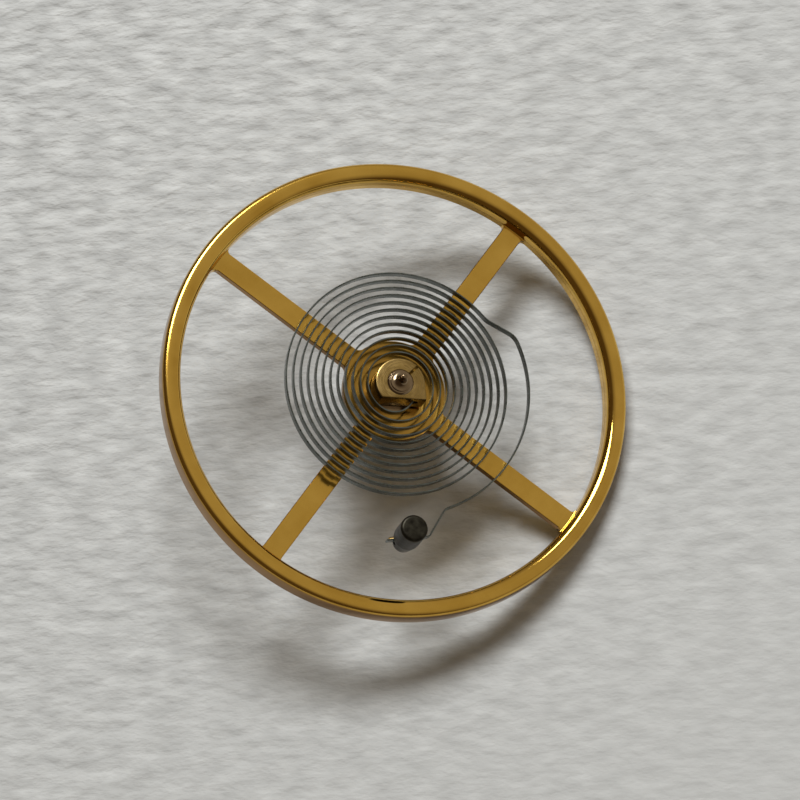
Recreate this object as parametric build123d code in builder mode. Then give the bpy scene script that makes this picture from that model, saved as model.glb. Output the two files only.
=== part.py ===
from build123d import *
import os
from itertools import combinations
from math import acos, atan2, degrees, pi, sqrt

# Balance wheel of a wristwatch: a gilt wheel with four arms, its staff and rollers,
# the collet, the flat hairspring and the stud at the hairspring's outer end.
# Millimetres. Z is the staff's axis, with the hairspring above the wheel. The origin
# is the tip of the lower pivot. One pair of arms lies along X and the other along Y.

os.makedirs("parts", exist_ok=True)

# Pivots, the same at both ends of the staff
pivot_radius = 0.055
pivot_length = 0.18
pivot_tip_rounding = 0.02
pivot_cone_length = 0.15

# Staff below the wheel
arbor_radius = 0.22
arbor_below_rollers = 0.13
arbor_above_rollers = 0.42
flange_radius = 0.64
flange_thickness = 0.30
flange_bevel = 0.14

# Staff through and above the wheel
wheel_seat_radius = 0.40
rivet_radius = 0.48
rivet_height = 0.05
collet_seat_radius = 0.28
collet_seat_bevel = 0.03
neck_radius = 0.22
neck_length = 0.05

# Wheel
wheel_radius = 5.0
rim_width = 0.40
rim_height = 0.52
rim_outer_rounding = 0.11
rim_inner_rounding = 0.09
rim_lower_bevel = 0.03
rim_below_arms = 0.03
arm_count = 4
arm_width = 0.46
arm_thickness = 0.18
hub_radius = 1.10
hub_corner_radius = 0.16
rim_corner_radius = 0.10

# Rollers and the impulse jewel
safety_roller_radius = 0.46
safety_roller_thickness = 0.16
safety_collar_radius = 0.32
passing_hollow_radius = 0.13
impulse_roller_radius = 0.78
impulse_roller_thickness = 0.16
impulse_collar_radius = 0.36
impulse_collar_length = 0.12
roller_spacing = 0.38
jewel_radius = 0.12
jewel_orbit_radius = 0.59
jewel_free_length = 0.33
jewel_flat_share = 0.55
jewel_angle = 90.0
shellac_radius = 0.17
shellac_height = 0.09

# Collet
collet_radius = 0.53
collet_height = 0.52
collet_lift = 0.03
collet_edge_bevel = 0.03
collet_slit_width = 0.06
collet_slit_angle = 80.0
lug_corner_offset = 0.66
lug_angle = 3.0
lug_flat_offset = 0.355
collet_hole_offset = 0.45
collet_hole_radius = 0.10

# Hairspring: a blade on edge, wound in half turns that grow by half the pitch
blade_thickness = 0.033
blade_height = 0.17
coil_pitch = 0.159
half_turns = 23
inner_coil_radius = 0.645
blade_above_arms = 0.36
blade_inner_tail = 0.05
blade_outer_tail = 0.12

# Hairspring's outer terminal: a kink out to an arc about the staff, then a bend out to the stud
terminal_radius = 2.83
kink_lead_angle = 13.0
kink_angle = 21.0
kink_out_radius = 0.50
kink_in_radius = 0.40
terminal_end_angle = -33.0
tail_out_angle = 39.0
tail_in_angle = 52.0
tail_out_radius = 0.18
tail_in_radius = 0.10
tail_run_length = 0.60
tail_to_stud = 0.46

# Stud
stud_radius = 0.29
stud_length = 1.12
stud_nose_radius = 0.22
stud_nose_length = 0.45
stud_below_blade = 0.25
stud_bevel = 0.03
stud_hole_radius = 0.11

# Taper pins that wedge the blade in the collet and in the stud
pin_large_radius = 0.092
pin_small_radius = 0.075
pin_overhang = 0.07

# Fits
seat_gap = 0.003
pin_gap = 0.004

# Levels up the staff
cone_top = pivot_length + pivot_cone_length
safety_bottom = cone_top + arbor_below_rollers
safety_top = safety_bottom + safety_roller_thickness
impulse_bottom = safety_top + roller_spacing
impulse_top = impulse_bottom + impulse_roller_thickness
flange_bottom = impulse_top + arbor_above_rollers
arm_bottom = flange_bottom + flange_thickness
arm_top = arm_bottom + arm_thickness
rim_bottom = arm_bottom - rim_below_arms
rivet_top = arm_top + rivet_height
collet_bottom = rivet_top + collet_lift
collet_top = collet_bottom + collet_height
collet_seat_top = collet_top + collet_seat_bevel
neck_top = collet_seat_top + neck_length
upper_cone_top = neck_top + pivot_cone_length
staff_top = upper_cone_top + pivot_length
blade_level = arm_top + blade_above_arms


def write(built, name):
    """Label a finished piece, write its STEP file and say what it measures."""
    built.part.label = name
    export_step(built.part, f"parts/{name}.step")
    size = built.part.bounding_box().size
    print(f"{name}: {built.part.volume:.4f} mm3, {size.X:.2f} x {size.Y:.2f} x {size.Z:.2f} mm")


def arm_corners(vertices, radius):
    """The corners, two to an arm, that lie nearest to this distance from the staff's axis."""
    return vertices.sort_by(lambda corner: abs(corner.center().length - radius))[: 2 * arm_count]


# Balance wheel: the rim is turned, and its web is sawn out to four arms and a hub
rim_inner_radius = wheel_radius - rim_width
rim_middle_radius = wheel_radius - rim_width / 2

with BuildPart() as balance_wheel:
    with BuildSketch(Plane.XY.offset(arm_bottom)) as web:
        Circle(rim_middle_radius)
        Circle(rim_inner_radius, mode=Mode.SUBTRACT)
        with PolarLocations(0, arm_count):
            Rectangle(rim_middle_radius, arm_width, align=(Align.MIN, Align.CENTER))
        Circle(hub_radius)
        fillet(arm_corners(web.vertices(), hub_radius), hub_corner_radius)
        fillet(arm_corners(web.vertices(), rim_inner_radius), rim_corner_radius)
        Circle(wheel_seat_radius + seat_gap, mode=Mode.SUBTRACT)
    extrude(amount=arm_thickness)
    with BuildSketch(Plane.XZ) as rim_section:
        with Locations((rim_middle_radius, rim_bottom + rim_height / 2)):
            Rectangle(rim_width, rim_height)
        upper_corners = rim_section.vertices().group_by(Axis.Y)[-1].sort_by(Axis.X)
        fillet(upper_corners[-1], rim_outer_rounding)
        fillet(upper_corners[0], rim_inner_rounding)
        chamfer(rim_section.vertices().group_by(Axis.Y)[0], rim_lower_bevel)
    revolve(axis=Axis.Z)
write(balance_wheel, "balance_wheel")


# Balance staff: one turned profile, from the lower pivot's tip to the upper pivot's tip
with BuildPart() as balance_staff:
    with BuildSketch(Plane.XZ):
        with BuildLine():
            Polyline(
                (0, 0),
                (pivot_radius - pivot_tip_rounding, 0),
                (pivot_radius, pivot_tip_rounding),
                (pivot_radius, pivot_length),
            )
            TangentArc((pivot_radius, pivot_length), (arbor_radius, cone_top), tangent=(0, 1))
            Polyline(
                (arbor_radius, cone_top),
                (arbor_radius, flange_bottom),
                (flange_radius - flange_bevel, flange_bottom),
                (flange_radius, flange_bottom + flange_bevel),
                (flange_radius, arm_bottom),
                (wheel_seat_radius, arm_bottom),
                (wheel_seat_radius, arm_top),
                (rivet_radius, arm_top),
                (rivet_radius, rivet_top),
                (collet_seat_radius, rivet_top),
                (collet_seat_radius, collet_top),
                (collet_seat_radius - collet_seat_bevel, collet_seat_top),
                (neck_radius, collet_seat_top),
                (neck_radius, neck_top),
            )
            TangentArc((pivot_radius, upper_cone_top), (neck_radius, neck_top), tangent=(0, -1))
            Polyline(
                (pivot_radius, upper_cone_top),
                (pivot_radius, staff_top - pivot_tip_rounding),
                (pivot_radius - pivot_tip_rounding, staff_top),
                (0, staff_top),
                (0, 0),
            )
        make_face()
    revolve(axis=Axis.Z)
write(balance_staff, "balance_staff")


# Safety roller: a small disc with a passing hollow below the jewel, and a collar above
with BuildPart() as safety_roller:
    with BuildSketch(Plane.XY.offset(safety_bottom)):
        Circle(safety_roller_radius)
        with PolarLocations(safety_roller_radius, 1, start_angle=jewel_angle):
            Circle(passing_hollow_radius, mode=Mode.SUBTRACT)
    extrude(amount=safety_roller_thickness)
    with BuildSketch(Plane.XY.offset(safety_top)):
        Circle(safety_collar_radius)
    extrude(amount=roller_spacing - impulse_collar_length - seat_gap)
    with Locations((0, 0, safety_bottom)):
        Cylinder(
            arbor_radius + seat_gap,
            roller_spacing + safety_roller_thickness,
            align=(Align.CENTER, Align.CENTER, Align.MIN),
            mode=Mode.SUBTRACT,
        )
write(safety_roller, "safety_roller")


# Impulse roller: a disc with a collar below it and a D-shaped hole for the jewel
jewel_flat = jewel_flat_share * jewel_radius


def jewel_outline(gap):
    """The jewel's section: round, with a flat on the side away from the staff."""
    with BuildSketch(mode=Mode.PRIVATE) as outline:
        with PolarLocations(jewel_orbit_radius, 1, start_angle=jewel_angle):
            Circle(jewel_radius + gap)
            with Locations((jewel_flat + gap, 0)):
                Rectangle(
                    jewel_radius,
                    2 * jewel_radius + 2 * gap,
                    align=(Align.MIN, Align.CENTER),
                    mode=Mode.SUBTRACT,
                )
    return outline.sketch


with BuildPart() as impulse_roller:
    with BuildSketch(Plane.XY.offset(impulse_bottom)):
        Circle(impulse_roller_radius)
        add(jewel_outline(seat_gap), mode=Mode.SUBTRACT)
    extrude(amount=impulse_roller_thickness)
    with BuildSketch(Plane.XY.offset(impulse_bottom - impulse_collar_length)):
        Circle(impulse_collar_radius)
    extrude(amount=impulse_collar_length)
    with Locations((0, 0, impulse_bottom - impulse_collar_length)):
        Cylinder(
            arbor_radius + seat_gap,
            impulse_collar_length + impulse_roller_thickness,
            align=(Align.CENTER, Align.CENTER, Align.MIN),
            mode=Mode.SUBTRACT,
        )
write(impulse_roller, "impulse_roller")


# Impulse jewel: it hangs from the impulse roller and ends just above the safety roller
with BuildPart() as impulse_jewel:
    with BuildSketch(Plane.XY.offset(impulse_bottom - jewel_free_length)):
        add(jewel_outline(0))
    extrude(amount=jewel_free_length + impulse_roller_thickness)
write(impulse_jewel, "impulse_jewel")


# Shellac: a bead on the impulse roller, over the jewel's upper end
with BuildPart() as shellac:
    jewel_root = Vector(jewel_orbit_radius, 0, impulse_top + seat_gap).rotate(Axis.Z, jewel_angle)
    with BuildSketch(Plane(origin=jewel_root, x_dir=(1, 0, 0), z_dir=(0, -1, 0))):
        with BuildLine():
            Line((0, shellac_height), (0, 0))
            Line((0, 0), (shellac_radius, 0))
            TangentArc((0, shellac_height), (shellac_radius, 0), tangent=(1, 0))
        make_face()
    revolve(axis=Axis(jewel_root, (0, 0, 1)))
write(shellac, "shellac")


# Collet: a slit ring whose lug ends in a square corner, with a hole for the blade
flat_normal_angle = lug_angle - degrees(acos(lug_flat_offset / lug_corner_offset))
flat_end_angle = flat_normal_angle - degrees(acos(lug_flat_offset / collet_radius))
tangent_angle = lug_angle + degrees(acos(collet_radius / lug_corner_offset))

with BuildPart() as hairspring_collet:
    with BuildSketch(Plane.XY.offset(collet_bottom)):
        with BuildLine():
            lug_corner = Vector(lug_corner_offset, 0).rotate(Axis.Z, lug_angle)
            ring = CenterArc((0, 0), collet_radius, tangent_angle, 360 + flat_end_angle - tangent_angle)
            Line(ring @ 1, lug_corner)
            Line(lug_corner, ring @ 0)
        make_face()
    extrude(amount=collet_height)
    chamfer(hairspring_collet.faces().sort_by(Axis.Z)[-1].edges(), collet_edge_bevel)
    with BuildSketch(Plane.XY.offset(collet_bottom)):
        Circle(collet_seat_radius + seat_gap)
        with PolarLocations(0, 1, start_angle=collet_slit_angle):
            Rectangle(lug_corner_offset, collet_slit_width, align=(Align.MIN, Align.CENTER))
    extrude(amount=collet_height, mode=Mode.SUBTRACT)
    with BuildSketch(Plane.XZ.offset(collet_radius)):
        with Locations((collet_hole_offset, blade_level)):
            Circle(collet_hole_radius)
    extrude(amount=-2 * collet_radius, mode=Mode.SUBTRACT)
write(hairspring_collet, "hairspring_collet")


# Hairspring: the blade's middle line, from the collet's hole to past the stud
flat_normal = Vector(1, 0, 0).rotate(Axis.Z, flat_normal_angle)
tangent_normal = Vector(1, 0, 0).rotate(Axis.Z, tangent_angle)
collet_hole_entry = (lug_flat_offset - collet_hole_offset * flat_normal.X) / flat_normal.Y
collet_hole_exit = (collet_radius - collet_hole_offset * tangent_normal.X) / tangent_normal.Y
inner_bend_level = collet_hole_offset - inner_coil_radius
lead_radius = inner_coil_radius + half_turns * coil_pitch / 2 + coil_pitch / 4
kink_heading = kink_angle - kink_lead_angle


def right_of(heading):
    """The direction square to a heading, on its right hand seen from above."""
    return Vector(heading.Y, -heading.X, 0)


def kink_run_length(start, heading):
    """How far the kink runs straight, so that its inward bend just meets the terminal arc."""
    centre = start + right_of(heading) * kink_in_radius
    centre = Vector(centre.X, centre.Y, 0)
    reach = terminal_radius - kink_in_radius
    return sqrt(centre.dot(heading) ** 2 - centre.length**2 + reach**2) - centre.dot(heading)


with BuildPart() as hairspring:
    with BuildLine() as blade_line:
        run = Line(
            (collet_hole_offset, collet_hole_exit + blade_inner_tail, blade_level),
            (collet_hole_offset, inner_bend_level, blade_level),
        )
        run = JernArc(run @ 1, run % 1, collet_hole_offset, -90)
        for turn in range(half_turns):
            half_turn_radius = inner_coil_radius + turn * coil_pitch / 2 + coil_pitch / 4
            run = JernArc(run @ 1, run % 1, half_turn_radius, -180)
        run = JernArc(run @ 1, run % 1, lead_radius, -kink_lead_angle)
        run = JernArc(run @ 1, run % 1, kink_out_radius, kink_angle)
        run = Line(run @ 1, (run @ 1) + (run % 1) * kink_run_length(run @ 1, run % 1))
        bend_centre = (run @ 1) + right_of(run % 1) * kink_in_radius
        meeting_angle = degrees(atan2(bend_centre.Y, bend_centre.X))
        run = JernArc(run @ 1, run % 1, kink_in_radius, meeting_angle - 90 - kink_heading)
        run = JernArc(run @ 1, run % 1, terminal_radius, terminal_end_angle - meeting_angle)
        run = JernArc(run @ 1, run % 1, tail_out_radius, tail_out_angle)
        run = Line(run @ 1, (run @ 1) + (run % 1) * tail_run_length)
        run = JernArc(run @ 1, run % 1, tail_in_radius, -tail_in_angle)
        tail_direction = run % 1
        stud_centre = (run @ 1) + tail_direction * tail_to_stud
        run = Line(run @ 1, stud_centre + tail_direction * (stud_radius + blade_outer_tail))
    with BuildSketch(Plane(origin=blade_line.line @ 0, x_dir=(0, 0, 1), z_dir=blade_line.line % 0)):
        Rectangle(blade_height, blade_thickness)
    sweep()
write(hairspring, "hairspring")

# Least gap between two coils, measured on points at least half of the smallest turn apart
points_per_run = 24
spring_length = 0.0
spring_points = []
for edge in blade_line.edges():
    for step in range(points_per_run):
        share = step / points_per_run
        spring_points.append((spring_length + share * edge.length, edge @ share))
    spring_length += edge.length
least_distance = min(
    (later - earlier).length
    for (earlier_way, earlier), (later_way, later) in combinations(spring_points, 2)
    if later_way - earlier_way > pi * inner_coil_radius
)
print(f"hairspring: blade {spring_length:.1f} mm long, least gap {least_distance - blade_thickness:.3f} mm")


def pin_section(plane, radius):
    """A taper pin's section: what a circle in the hole leaves on the staff's side of the blade."""
    blade_side = blade_thickness / 2 + pin_gap
    with BuildSketch(plane, mode=Mode.PRIVATE) as section:
        Circle(radius)
        with Locations((0, blade_side)):
            Rectangle(2 * radius, radius + blade_side, align=(Align.CENTER, Align.MAX), mode=Mode.SUBTRACT)
    return section.sketch


# Collet pin: it goes in from the lug's flat, beside the blade
with BuildPart() as collet_pin:
    pin_start = Vector(collet_hole_offset, collet_hole_entry - pin_overhang, blade_level)
    pin_end = Vector(collet_hole_offset, collet_hole_exit + pin_overhang, blade_level)
    pin_axis = (pin_end - pin_start).normalized()
    add(pin_section(Plane(origin=pin_start, x_dir=(0, 0, -1), z_dir=pin_axis), pin_large_radius))
    add(pin_section(Plane(origin=pin_end, x_dir=(0, 0, -1), z_dir=pin_axis), pin_small_radius))
    loft()
write(collet_pin, "collet_pin")


# Stud: a round post with a tapered nose, and a cross hole that the blade's end runs through
with BuildPart() as stud:
    stud_foot = stud_centre - Vector(0, 0, stud_below_blade)
    with BuildSketch(Plane(origin=stud_foot, x_dir=(1, 0, 0), z_dir=(0, -1, 0))):
        with BuildLine():
            Polyline(
                (0, 0),
                (stud_nose_radius - stud_bevel, 0),
                (stud_nose_radius, stud_bevel),
                (stud_radius, stud_nose_length),
                (stud_radius, stud_length - stud_bevel),
                (stud_radius - stud_bevel, stud_length),
                (0, stud_length),
                (0, 0),
            )
        make_face()
    revolve(axis=Axis(stud_foot, (0, 0, 1)))
    with BuildSketch(Plane(origin=stud_centre, x_dir=(0, 0, 1), z_dir=tail_direction)):
        Circle(stud_hole_radius)
    extrude(amount=stud_radius, both=True, mode=Mode.SUBTRACT)
write(stud, "stud")


# Stud pin: it goes in beside the blade, and its tip shows on the far side of the stud
with BuildPart() as stud_pin:
    half_pin = tail_direction * (stud_radius + pin_overhang)
    pin_head = Plane(origin=stud_centre - half_pin, x_dir=(0, 0, 1), z_dir=tail_direction)
    pin_tip = Plane(origin=stud_centre + half_pin, x_dir=(0, 0, 1), z_dir=tail_direction)
    add(pin_section(pin_head, pin_large_radius))
    add(pin_section(pin_tip, pin_small_radius))
    loft()
write(stud_pin, "stud_pin")
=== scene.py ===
# %% [markdown]
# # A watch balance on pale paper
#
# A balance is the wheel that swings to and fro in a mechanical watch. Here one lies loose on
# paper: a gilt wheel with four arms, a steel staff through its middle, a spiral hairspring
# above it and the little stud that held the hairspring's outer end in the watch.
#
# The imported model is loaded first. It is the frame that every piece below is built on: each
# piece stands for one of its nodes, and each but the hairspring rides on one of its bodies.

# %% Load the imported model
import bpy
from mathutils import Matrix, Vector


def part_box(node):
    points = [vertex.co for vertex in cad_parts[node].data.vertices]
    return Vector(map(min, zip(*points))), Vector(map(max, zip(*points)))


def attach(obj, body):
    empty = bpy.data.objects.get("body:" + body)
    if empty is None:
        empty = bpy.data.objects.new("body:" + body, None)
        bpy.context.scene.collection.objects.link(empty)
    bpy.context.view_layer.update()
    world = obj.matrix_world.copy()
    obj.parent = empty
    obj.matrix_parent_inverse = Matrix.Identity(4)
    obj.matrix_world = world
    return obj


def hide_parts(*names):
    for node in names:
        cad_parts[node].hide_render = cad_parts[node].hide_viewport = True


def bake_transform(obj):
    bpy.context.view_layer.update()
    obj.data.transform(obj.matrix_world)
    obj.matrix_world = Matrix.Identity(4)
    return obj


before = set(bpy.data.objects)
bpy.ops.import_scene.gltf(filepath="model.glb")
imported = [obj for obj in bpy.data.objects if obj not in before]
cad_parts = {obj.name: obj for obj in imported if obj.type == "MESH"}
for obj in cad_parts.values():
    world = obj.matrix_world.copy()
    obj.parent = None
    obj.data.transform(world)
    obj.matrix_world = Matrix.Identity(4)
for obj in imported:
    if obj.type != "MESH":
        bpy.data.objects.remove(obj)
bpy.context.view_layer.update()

print("nodes:", sorted(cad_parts))

# %% [markdown]
# ## Working in millimetres
#
# Blender counts in metres, and this object is 10 mm across. Its drawing sizes are easier to
# read in millimetres, and Blender's Boolean tool also works better on sizes near 1. So every
# mesh below is drawn in millimetres and shrunk once, when the piece is finished.

# %% Tools and the unit
from math import acos, atan2, cos, degrees, pi, radians, sin, sqrt

import bmesh
import bpy
from mathutils import Matrix, Vector, noise

MM = 0.001
scene = bpy.context.scene
scene.view_settings.view_transform = "Standard"

# %% [markdown]
# ## The camera
#
# The photograph looks down on the paper. The wheel leans on it, so its staff makes about 22
# degrees with the line of sight, and the whole view is turned by 37 degrees. A camera can be
# aimed with a constraint, but here its three axes are worked out: towards the eye,
# to the right and up. The same three directions place the lamp later.

# %% Camera
STAFF_TO_SIGHT = radians(22.0)
VIEW_ROLL = radians(37.0)
CAMERA_DISTANCE = 100 * MM
PIXELS_PER_MM = 47.5
IMAGE_WIDTH = 800
FILM_WIDTH = 36
RIM_MIDDLE = Vector((0, 0, 2.11)) * MM
RIM_PIXEL = Vector((394.7, 389.9))

to_eye = Vector((0, -sin(STAFF_TO_SIGHT), cos(STAFF_TO_SIGHT)))
level_right = Vector((1, 0, 0))
level_up = to_eye.cross(level_right)
view_right = level_right * cos(VIEW_ROLL) + level_up * sin(VIEW_ROLL)
view_up = level_up * cos(VIEW_ROLL) - level_right * sin(VIEW_ROLL)

off_centre = (RIM_PIXEL - Vector((IMAGE_WIDTH / 2, IMAGE_WIDTH / 2))) * MM / PIXELS_PER_MM
aim = RIM_MIDDLE - view_right * off_centre.x + view_up * off_centre.y
camera_data = bpy.data.cameras.new("camera")
camera_data.sensor_width = FILM_WIDTH
camera_data.lens = PIXELS_PER_MM / MM * CAMERA_DISTANCE / IMAGE_WIDTH * FILM_WIDTH
camera_data.clip_start = 1 * MM
camera = bpy.data.objects.new("camera", camera_data)
axes = Matrix((view_right, view_up, to_eye)).transposed().to_4x4()
camera.matrix_world = Matrix.Translation(aim + to_eye * CAMERA_DISTANCE) @ axes
scene.collection.objects.link(camera)
scene.camera = camera
print(f"camera: {camera_data.lens:.0f} mm lens at {CAMERA_DISTANCE / MM:.0f} mm")

# %% [markdown]
# ## Drawing a round piece
#
# Almost everything in a balance is turned on a lathe. In Blender that is a Spin: half of the
# piece's section is drawn as a flat outline and swept round the axis. A Screw modifier would
# do the same, but the bmesh call leaves a plain mesh that the Boolean tool can cut at once.
#
# Real turned corners are never quite sharp, and the thin line of light along them is what
# makes metal look like metal. So a corner may carry a radius, and is then drawn as an arc.

# %% Outlines and the lathe
SAME_PLACE = 1e-5


def softened(corners, arc_steps=4):
    """The closed outline of corners (x, y, radius), with an arc in place of each rounded one."""
    outline = []
    for number, (x, y, radius) in enumerate(corners):
        here = Vector((x, y))
        if not radius:
            outline.append(here)
            continue
        before = (Vector(corners[number - 1][:2]) - here).normalized()
        after = (Vector(corners[(number + 1) % len(corners)][:2]) - here).normalized()
        half_angle = before.angle(after) / 2
        middle = here + (before + after).normalized() * radius / sin(half_angle)
        start = here + before * radius / sin(half_angle) * cos(half_angle) - middle
        turn = (pi - 2 * half_angle) * (1 if before.cross(after) < 0 else -1)
        for step in range(arc_steps + 1):
            outline.append(middle + Matrix.Rotation(turn * step / arc_steps, 2) @ start)
    return outline


def turned(outline, steps, foot=(0, 0, 0)):
    """Spin a closed outline of (radius, height) points round an upright axis through the foot."""
    shape = bmesh.new()
    corners = [shape.verts.new((radius, 0, height)) for radius, height in outline]
    sides = [shape.edges.new((corners[i - 1], corners[i])) for i in range(len(corners))]
    bmesh.ops.spin(
        shape, geom=corners + sides, axis=(0, 0, 1), cent=(0, 0, 0), steps=steps, angle=2 * pi,
        use_merge=True,
    )
    bmesh.ops.remove_doubles(shape, verts=shape.verts, dist=SAME_PLACE)
    loose = [edge for edge in shape.edges if not edge.link_faces]
    bmesh.ops.delete(shape, geom=loose, context="EDGES")
    bmesh.ops.translate(shape, verts=shape.verts, vec=foot)
    return shape


def stacked(rings):
    """Join rings of points, each with as many as the first, into one closed skin."""
    shape = bmesh.new()
    layers = [[shape.verts.new(point) for point in ring] for ring in rings]
    for low, high in zip(layers, layers[1:]):
        for i in range(len(low)):
            shape.faces.new((low[i - 1], low[i], high[i], high[i - 1]))
    shape.faces.new(layers[0])
    shape.faces.new(layers[-1])
    return shape


# %% [markdown]
# ## Cutting, and finishing a piece
#
# Holes and slots are cut as a maker cuts them, with a tool: a second mesh is taken away by a
# Boolean modifier, and the result replaces the mesh. The Exact solver is slower than the
# others, but its cuts come out closed, and a mesh that isn't closed is no solid piece.
#
# A finished piece is shrunk to metres and shaded smooth with its sharp edges kept. A Weighted
# Normal modifier then keeps the broad flats flat, so that the shading of a small rounded edge
# doesn't spread over them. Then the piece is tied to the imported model, and a line is printed:
# a finished piece has no open edges, and lies within a hair of its node's box.

# %% Cutting and finishing
SHARP_FROM = radians(35)


def draft(name, shape):
    """An object, still in millimetres, from a bmesh."""
    bmesh.ops.recalc_face_normals(shape, faces=shape.faces)
    mesh = bpy.data.meshes.new(name)
    shape.to_mesh(mesh)
    shape.free()
    piece = bpy.data.objects.new(name, mesh)
    scene.collection.objects.link(piece)
    return piece


def final_mesh(piece):
    """The piece's mesh with its modifiers applied."""
    bpy.context.view_layer.update()
    applied = piece.evaluated_get(bpy.context.evaluated_depsgraph_get())
    return bpy.data.meshes.new_from_object(applied)


def cut(piece, tool_shape):
    """Take a tool's shape away from a piece with a Boolean."""
    tool = draft("tool", tool_shape)
    boolean = piece.modifiers.new("cut", "BOOLEAN")
    boolean.operation = "DIFFERENCE"
    boolean.solver = "EXACT"
    boolean.object = tool
    piece.data = final_mesh(piece)
    piece.modifiers.clear()
    bpy.data.objects.remove(tool)


def finished(piece, material, body, node):
    """Shrink the piece to metres, shade it, ride it on its body and let it stand for its node.

    A piece given None for its body is tied to no body.
    """
    piece.data.transform(Matrix.Scale(MM, 4))
    piece.data.materials.clear()
    piece.data.materials.append(material)
    piece.data.shade_smooth()
    piece.data.set_sharp_from_angle(angle=SHARP_FROM)
    flats = piece.modifiers.new("flats", "WEIGHTED_NORMAL")
    flats.keep_sharp = True
    if body:
        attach(piece, body)
    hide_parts(node)
    low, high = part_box(node)
    own = [corner.co for corner in piece.data.vertices]
    reach = max(
        max(abs(min(c[i] for c in own) - low[i]), abs(max(c[i] for c in own) - high[i]))
        for i in range(3)
    )
    open_edges = open_edge_count(piece.data)
    print(f"{piece.name}: {len(piece.data.polygons)} faces, {open_edges} open edges, "
          f"{reach / MM:.3f} mm from its node's box")
    return piece


def open_edge_count(mesh):
    """How many edges don't have exactly two faces."""
    faces_at = {}
    for polygon in mesh.polygons:
        for key in polygon.edge_keys:
            faces_at[key] = faces_at.get(key, 0) + 1
    return sum(count != 2 for count in faces_at.values())


# %% [markdown]
# ## A kit for the finishes
#
# Each finish is a Principled shader with a few nodes in front of it. What is the same all over
# a surface is typed on the shader itself, and only what really varies comes through a link:
# a little colour drift, a roughness that comes and goes, and fine tool marks as a bump.
#
# The marks of a lathe run round the axis, so their pattern is a noise that is read at
# (distance from the axis, angle, height), with the angle counting for almost nothing.

# %% Nodes for the finishes
NOISE_LOW, NOISE_HIGH = 0.3, 0.7
RING_SWEEP = 0.05


def finish(name, **settings):
    """A material with its node tree and Principled shader; settings go on the shader's sockets."""
    material = bpy.data.materials.new(name)
    material.use_nodes = True
    shader = material.node_tree.nodes["Principled BSDF"]
    for socket, value in settings.items():
        shader.inputs[socket.replace("_", " ")].default_value = value
    return material, material.node_tree, shader


def node(tree, kind, inputs=None, **settings):
    """Add a node, set its properties and fill or link its inputs."""
    made = tree.nodes.new(kind)
    for name, value in settings.items():
        setattr(made, name, value)
    for socket, value in (inputs or {}).items():
        if isinstance(value, bpy.types.NodeSocket):
            tree.links.new(value, made.inputs[socket])
        else:
            made.inputs[socket].default_value = value
    return made


def maths(tree, operation, *values):
    """The result of a Math node."""
    return node(tree, "ShaderNodeMath", dict(enumerate(values)), operation=operation).outputs[0]


def place(tree):
    """Where a shading point is on the piece, in metres."""
    return node(tree, "ShaderNodeTexCoord").outputs["Object"]


def clouds(tree, where, size_mm, detail=3.0, stretch=(1, 1, 1)):
    """Noise between 0 and 1, whose patches are about so many millimetres across."""
    spread = node(tree, "ShaderNodeVectorMath", {0: where, 1: stretch}, operation="MULTIPLY")
    return node(
        tree, "ShaderNodeTexNoise",
        {"Vector": spread.outputs[0], "Scale": 1 / (size_mm * MM), "Detail": detail},
    ).outputs["Fac"]


def ramp(tree, value, start, end, low=0.0, high=1.0):
    """Turn a value that goes from start to end into one that goes from low to high."""
    return node(
        tree, "ShaderNodeMapRange",
        {"Value": value, "From Min": start, "From Max": end, "To Min": low, "To Max": high},
    ).outputs["Result"]


def between(tree, value, low, high):
    """Stretch a noise's middle range over the values from low to high."""
    return ramp(tree, value, NOISE_LOW, NOISE_HIGH, low, high)


def mixed(tree, share, first, second):
    """The first colour where the share is 0 and the second where it is 1."""
    mix = node(tree, "ShaderNodeMix", {0: share}, data_type="RGBA")
    for socket, colour in (("A", first), ("B", second)):
        if isinstance(colour, bpy.types.NodeSocket):
            tree.links.new(colour, mix.inputs[socket])
        else:
            mix.inputs[socket].default_value = (*colour, 1)
    return mix.outputs["Result"]


def tinted(tree, value, first, second):
    """A colour that drifts between two as a noise does."""
    return mixed(tree, between(tree, value, 0, 1), first, second)


def bumped(tree, shader, height, depth_mm, strength=1.0):
    """Raise the surface where the height value is high; the depth is that of its whole range."""
    relief = node(
        tree, "ShaderNodeBump", {"Height": height, "Distance": depth_mm * MM, "Strength": strength}
    )
    tree.links.new(relief.outputs["Normal"], shader.inputs["Normal"])


def lathe_marks(tree, size_mm=0.03):
    """Noise drawn out into rings round the staff's axis."""
    x, y, z = node(tree, "ShaderNodeSeparateXYZ", {0: place(tree)}).outputs
    squares = [maths(tree, "MULTIPLY", side, side) for side in (x, y)]
    reach = maths(tree, "SQRT", maths(tree, "ADD", *squares))
    angle = maths(tree, "MULTIPLY", maths(tree, "ARCTAN2", y, x), RING_SWEEP * MM)
    rings = node(tree, "ShaderNodeCombineXYZ", {0: reach, 1: angle, 2: z})
    return clouds(tree, rings.outputs[0], size_mm, detail=2.0)
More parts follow.
